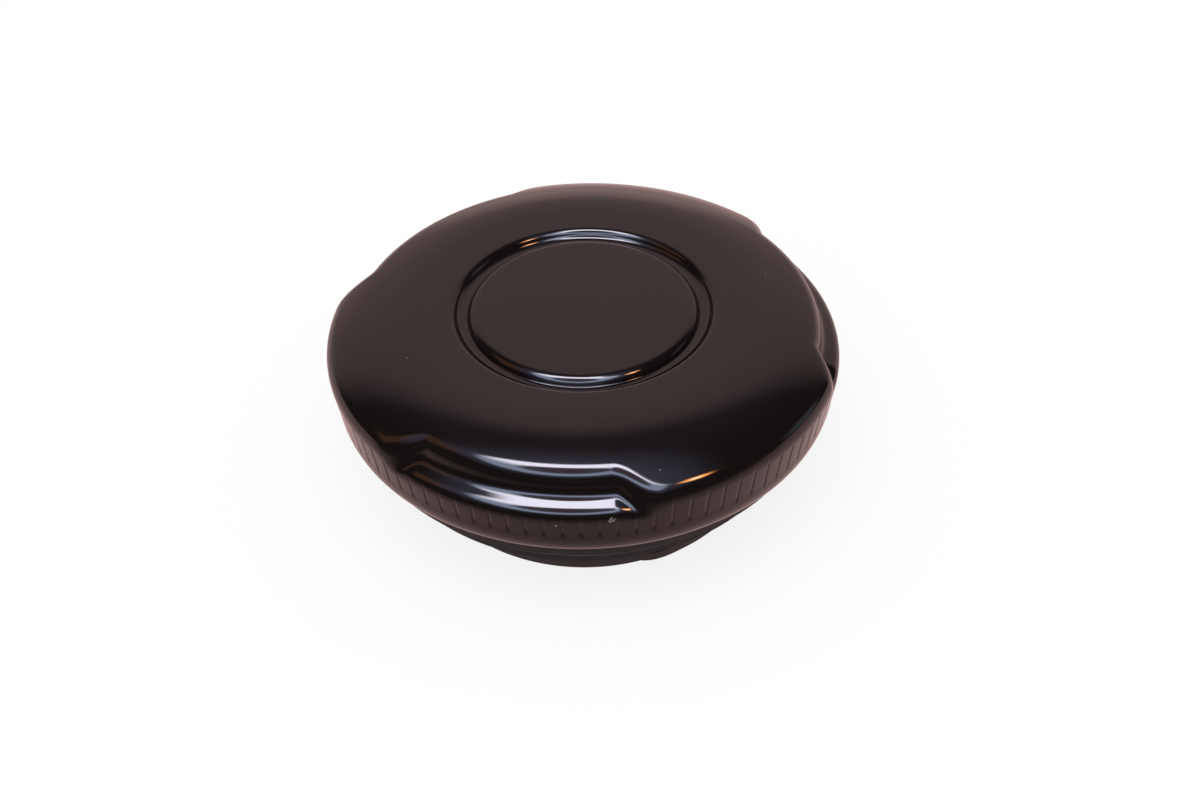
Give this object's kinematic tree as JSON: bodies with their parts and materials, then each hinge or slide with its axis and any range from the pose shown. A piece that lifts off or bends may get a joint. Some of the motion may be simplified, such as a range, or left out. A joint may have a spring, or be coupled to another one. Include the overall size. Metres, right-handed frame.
{
  "type": "fuel filler cap",
  "caption": "Round screw-in fuel filler cap with a domed gloss black cover, finger recesses, a grooved skirt, a ratchet and a vent valve over a threaded plug.",
  "frame": {"origin": "on the cap's axis, in the plane of the plug's bottom face", "axes": "+Z along the cap's axis towards the top of the cover; -Y is the side with the front finger recess"},
  "size_m": [0.0812, 0.0812, 0.0327],
  "materials": {
    "cover_enamel": "gloss black stoved enamel",
    "shell_nylon": "satin black moulded nylon",
    "plug_acetal": "satin black moulded acetal",
    "gasket_rubber": "matt black nitrile",
    "valve_acetal": "natural acetal",
    "seal_rubber": "matt fluorocarbon rubber",
    "spring_steel": "bright stainless spring steel",
    "zinc_steel": "zinc plated steel",
    "ball_steel": "polished steel",
    "baffle_acetal": "satin black acetal"
  },
  "bodies": {
    "plug": {"threaded_plug": "plug_acetal", "neck_gasket": "gasket_rubber", "slip_washer": "valve_acetal", "pawl_ring": "valve_acetal", "valve_housing": "valve_acetal", "housing_o_ring": "seal_rubber", "housing_retainer": "zinc_steel", "spring_cap": "valve_acetal", "cap_clip": "spring_steel", "pressure_spring": "spring_steel", "ball_cage": "baffle_acetal", "splash_baffle": "baffle_acetal"},
    "cover": {"outer_cover": "cover_enamel", "drive_shell": "shell_nylon", "retaining_ring": "zinc_steel"},
    "pressure_side": {"pressure_plate": "zinc_steel", "pressure_seal": "seal_rubber", "vacuum_spring": "spring_steel"},
    "vacuum_side": {"vacuum_valve": "zinc_steel", "vacuum_seal": "seal_rubber", "stem_clip": "spring_steel"},
    "ball": {"rollover_ball": "ball_steel"}
  },
  "joints": [
    {"name": "cover_turn", "type": "hinge", "parent": "plug", "child": "cover", "pos_m": [0, 0, 0], "axis": [0, 0, 1], "range_deg": [-360, 0], "deforming": ["pawl_ring"]},
    {"name": "pressure_lift", "type": "slide", "parent": "plug", "child": "pressure_side", "axis": [0, 0, 1], "range_m": [0, 0.0015], "stiffness_N_per_m": 250, "springref_m": -0.003, "deforming": ["pressure_spring"]},
    {"name": "vacuum_drop", "type": "slide", "parent": "pressure_side", "child": "vacuum_side", "axis": [0, 0, -1], "range_m": [0, 0.0008], "stiffness_N_per_m": 60, "springref_m": -0.002, "deforming": ["vacuum_spring"]},
    {"name": "ball_float", "type": "slide", "parent": "plug", "child": "ball", "axis": [0, 0, 1], "range_m": [0, 0.0024]}
  ]
}
